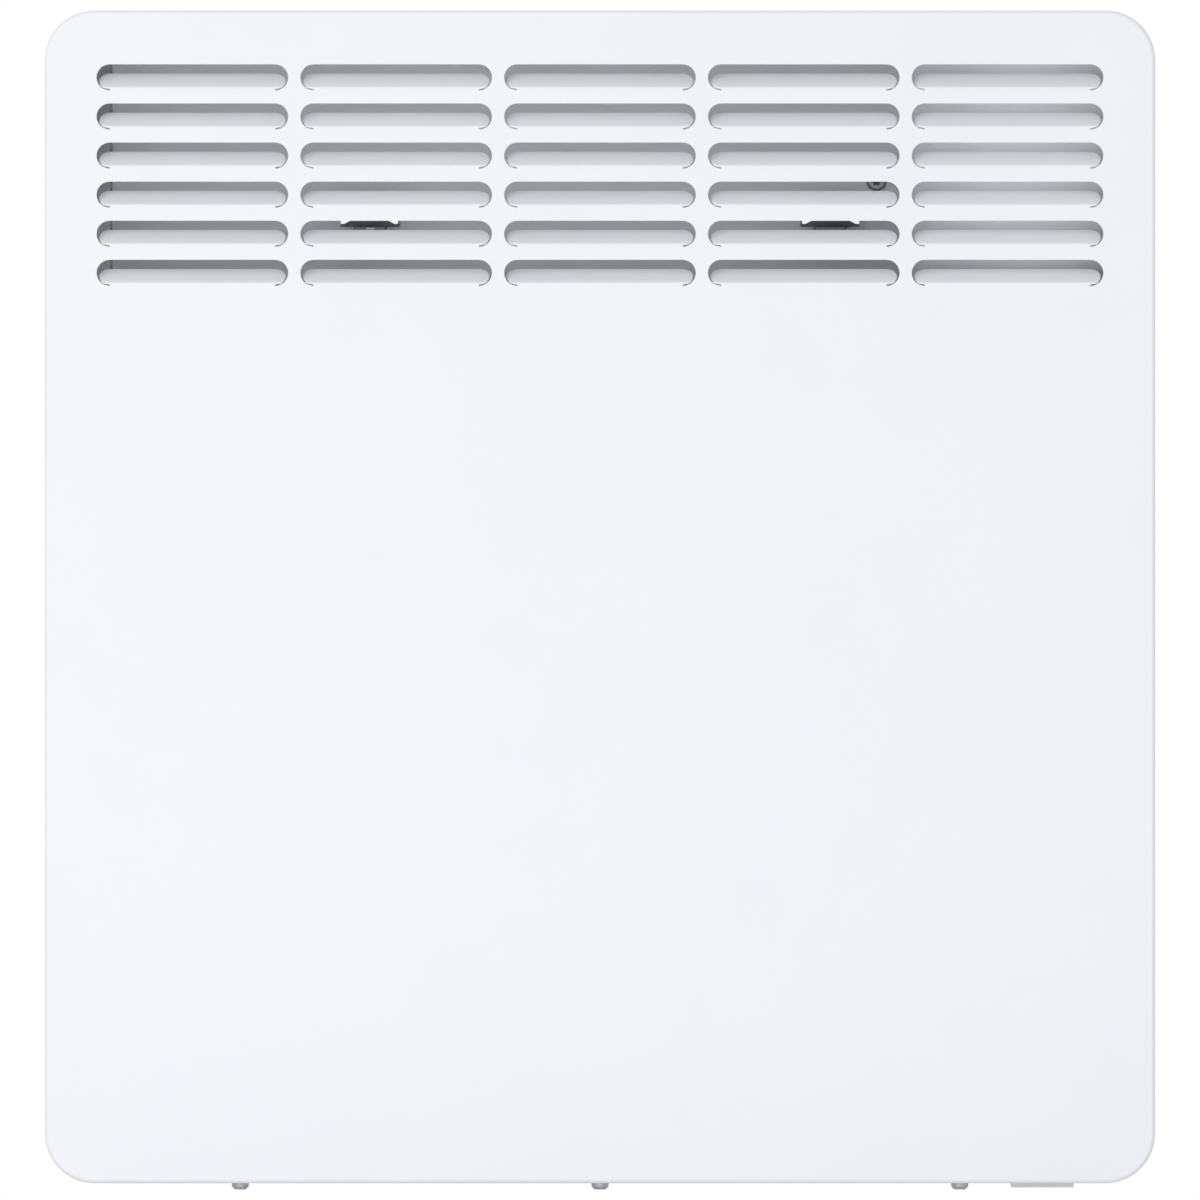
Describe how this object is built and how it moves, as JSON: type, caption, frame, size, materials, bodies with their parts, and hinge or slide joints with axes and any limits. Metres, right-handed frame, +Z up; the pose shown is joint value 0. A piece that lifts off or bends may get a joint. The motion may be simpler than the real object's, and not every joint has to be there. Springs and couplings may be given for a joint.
{
  "type": "panel convector heater",
  "caption": "Wall-hung electric panel convector with a louvred sheet-steel casing, finned heating element, control unit on top, rocker switch below and a wall bracket with release latches.",
  "frame": {"origin": "middle of the wall bracket's four wall holes, on the wall plane", "axes": "+X to the right seen from the front, +Y from the front into the wall, +Z up"},
  "size_m": [0.426, 0.1, 0.4525],
  "materials": {
    "painted_white": "satin powder coat",
    "zinc_steel": "galvanised",
    "dark_steel": "phosphated",
    "bright_steel": "bright",
    "element_aluminium": "extruded",
    "shield_aluminium": "bright rolled",
    "ceramic": "matte ceramic",
    "grey_plastic": "fine texture",
    "black_plastic": "matte",
    "board": "solder mask",
    "lens": "clear",
    "display": "glossy",
    "coil": "tape",
    "capacitor": "sleeve",
    "wire": "insulation",
    "brass": "plain"
  },
  "bodies": {
    "heater": {"front_cover": "painted_white", "rear_panel": "painted_white", "intake_grille": "painted_white", "left_air_guide": "painted_white", "control_partition": "painted_white", "front_heat_shield": "shield_aluminium", "rating_plate": "shield_aluminium", "wall_bracket": "zinc_steel", "latch_pins": "bright_steel", "latch_spring_left": "bright_steel", "latch_spring_right": "bright_steel", "element_fins": "element_aluminium", "heater_rod": "dark_steel", "end_bush_left": "ceramic", "end_bush_right": "ceramic", "element_bracket_left": "zinc_steel", "element_bracket_right": "zinc_steel", "cutout_bracket": "zinc_steel", "overheat_cutout": "bright_steel", "control_fascia": "grey_plastic", "display_lens": "lens", "display_module": "display", "display_board": "board", "key_switches": "black_plastic", "power_board": "board", "board_posts": "grey_plastic", "power_relay": "black_plastic", "supply_transformer": "coil", "smoothing_capacitor": "capacitor", "terminal_block": "black_plastic", "switch_frame": "grey_plastic", "cord_gland": "black_plastic", "sensor_holder": "grey_plastic", "room_sensor": "black_plastic", "cover_screws": "zinc_steel", "guide_screws": "zinc_steel", "partition_screws": "zinc_steel", "element_screws": "zinc_steel", "board_screws": "zinc_steel", "earth_screw": "brass", "element_wires": "wire", "mains_wires": "wire", "sensor_lead": "black_plastic", "display_ribbon": "wire"},
    "left_latch": {"latch_left": "dark_steel"},
    "right_latch": {"latch_right": "dark_steel"},
    "menu_key": {"menu_button": "grey_plastic"},
    "minus_key": {"minus_button": "grey_plastic"},
    "plus_key": {"plus_button": "grey_plastic"},
    "ok_key": {"ok_button": "grey_plastic"},
    "mains_rocker": {"rocker": "grey_plastic"}
  },
  "joints": [
    {"name": "left_latch_press", "type": "hinge", "parent": "heater", "child": "left_latch", "pos_m": [-0.0885, -0.009, 0.1391], "axis": [1, 0, 0], "range_deg": [0, 12], "stiffness_Nm_per_rad": 0.05, "springref_deg": -22.92, "deforming": ["latch_spring_left"]},
    {"name": "right_latch_press", "type": "hinge", "parent": "heater", "child": "right_latch", "pos_m": [0.0885, -0.009, 0.1391], "axis": [1, 0, 0], "range_deg": [0, 12], "stiffness_Nm_per_rad": 0.05, "springref_deg": -22.92, "deforming": ["latch_spring_right"]},
    {"name": "menu_press", "type": "slide", "parent": "heater", "child": "menu_key", "axis": [0, 0, -1], "range_m": [0, 0.0008], "stiffness_N_per_m": 1200, "springref_m": -0.0006},
    {"name": "minus_press", "type": "slide", "parent": "heater", "child": "minus_key", "axis": [0, 0, -1], "range_m": [0, 0.0008], "stiffness_N_per_m": 1200, "springref_m": -0.0006},
    {"name": "plus_press", "type": "slide", "parent": "heater", "child": "plus_key", "axis": [0, 0, -1], "range_m": [0, 0.0008], "stiffness_N_per_m": 1200, "springref_m": -0.0006},
    {"name": "ok_press", "type": "slide", "parent": "heater", "child": "ok_key", "axis": [0, 0, -1], "range_m": [0, 0.0008], "stiffness_N_per_m": 1200, "springref_m": -0.0006},
    {"name": "rocker_tilt", "type": "hinge", "parent": "heater", "child": "mains_rocker", "pos_m": [0.17, -0.056, -0.2176], "axis": [1, 0, 0], "range_deg": [0, 16]}
  ]
}
